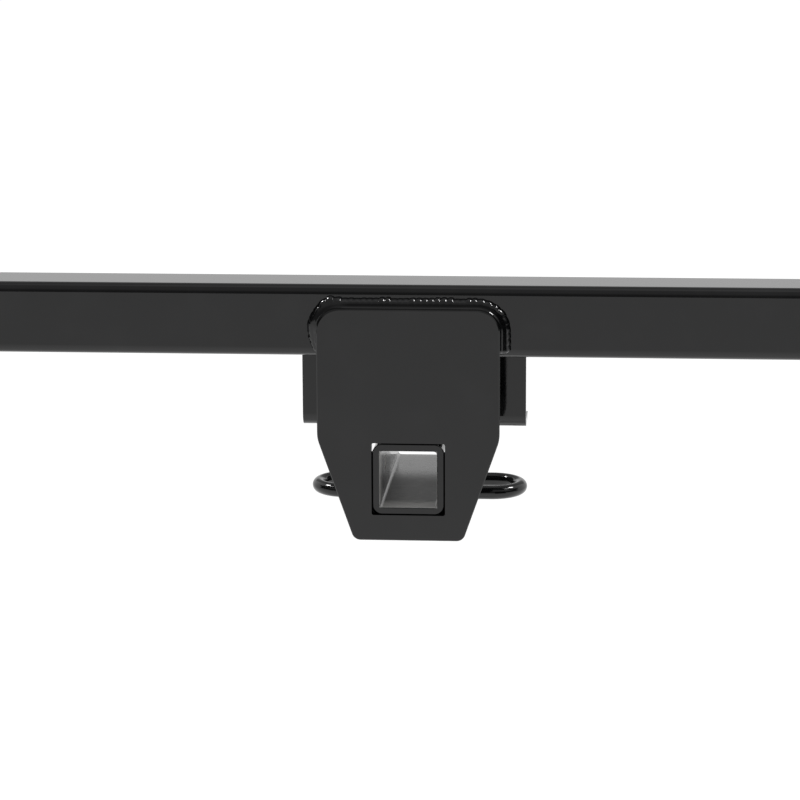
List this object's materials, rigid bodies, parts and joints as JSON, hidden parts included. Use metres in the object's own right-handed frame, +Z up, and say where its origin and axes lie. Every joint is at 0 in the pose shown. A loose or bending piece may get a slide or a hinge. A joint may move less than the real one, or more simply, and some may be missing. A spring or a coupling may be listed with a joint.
{
  "type": "trailer hitch receiver",
  "caption": "Welded towing receiver: square crossbar with end brackets, tapered front plate, square socket tube and round-bar chain loops, gloss black.",
  "frame": {"origin": "centre of the hitch pin hole, on the receiver tube's axis", "axes": "+X along the crossbar and the pin, to the right seen from behind the vehicle; +Y from the tube's mouth towards the vehicle; +Z up"},
  "size_m": [1.117, 0.2315, 0.2525],
  "materials": {
    "gloss_black_coat": "gloss black powder coat over steel",
    "coated_weld": "rippled weld bead under the same gloss black powder coat"
  },
  "bodies": {
    "root": {"crossbar": "gloss_black_coat", "front_plate": "gloss_black_coat", "receiver_tube": "gloss_black_coat", "drop_channel": "gloss_black_coat", "chain_loop": "gloss_black_coat", "mounting_bracket_left": "gloss_black_coat", "mounting_bracket_right": "gloss_black_coat", "bracket_gusset_left": "gloss_black_coat", "bracket_gusset_right": "gloss_black_coat", "plate_weld": "coated_weld", "plate_weld_under": "coated_weld", "tube_weld_upper": "coated_weld", "tube_weld_lower": "coated_weld", "channel_weld_top": "coated_weld", "channel_weld_under": "coated_weld", "channel_tube_weld_front": "coated_weld", "channel_tube_weld_rear": "coated_weld", "channel_tube_weld_left": "coated_weld", "channel_tube_weld_right": "coated_weld", "loop_weld_front_inner": "coated_weld", "loop_weld_front_outer": "coated_weld", "loop_weld_back_inner": "coated_weld", "loop_weld_back_outer": "coated_weld", "bracket_weld_left": "coated_weld", "bracket_weld_right": "coated_weld", "gusset_weld_left_bar": "coated_weld", "gusset_weld_left_bracket": "coated_weld", "gusset_weld_right_bar": "coated_weld", "gusset_weld_right_bracket": "coated_weld"}
  },
  "joints": []
}
